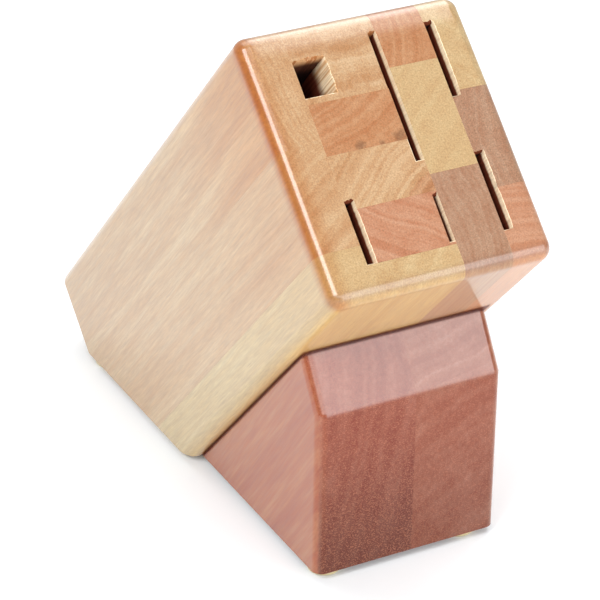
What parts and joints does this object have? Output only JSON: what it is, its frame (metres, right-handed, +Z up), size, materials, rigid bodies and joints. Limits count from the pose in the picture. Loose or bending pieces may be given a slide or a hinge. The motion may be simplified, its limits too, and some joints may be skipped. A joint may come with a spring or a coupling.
{
  "type": "knife block",
  "caption": "Empty slanted knife block of laminated hardwood boards with knife slots and a square steel slot, glued on a dark wooden wedge with small feet.",
  "frame": {"origin": "centre of the bounding box at the bottom, on the surface that the feet stand on", "axes": "+Z up, -Y the way the slot face looks (the front), +X to the right of someone facing the slot face"},
  "size_m": [0.086, 0.2256, 0.1893],
  "materials": {
    "pale_wood": "clear satin varnish over pale yellow hardwood",
    "honey_wood": "clear satin varnish over honey-tan hardwood",
    "tan_wood": "clear satin varnish over tan hardwood",
    "orange_wood": "clear satin varnish over orange-brown hardwood",
    "brown_wood": "clear satin varnish over grey-brown heartwood",
    "red_brown_wood": "clear satin varnish over red-brown open-pored hardwood",
    "foot_rubber": "smooth cream rubber"
  },
  "bodies": {
    "root": {"left_board_stave_1": "honey_wood", "left_board_stave_2": "tan_wood", "left_board_stave_3": "pale_wood", "wide_board_stave_1": "honey_wood", "wide_board_stave_2": "orange_wood", "wide_board_stave_3": "pale_wood", "wide_board_stave_4": "tan_wood", "wide_board_stave_5": "pale_wood", "narrow_board_stave_1": "tan_wood", "narrow_board_stave_2": "pale_wood", "narrow_board_stave_3": "brown_wood", "right_board_stave_1": "pale_wood", "right_board_stave_2": "brown_wood", "right_board_stave_3": "tan_wood", "base_left_stave": "red_brown_wood", "base_right_stave": "red_brown_wood", "foot_front_left": "foot_rubber", "foot_front_right": "foot_rubber", "foot_rear_left": "foot_rubber", "foot_rear_right": "foot_rubber"}
  },
  "joints": []
}
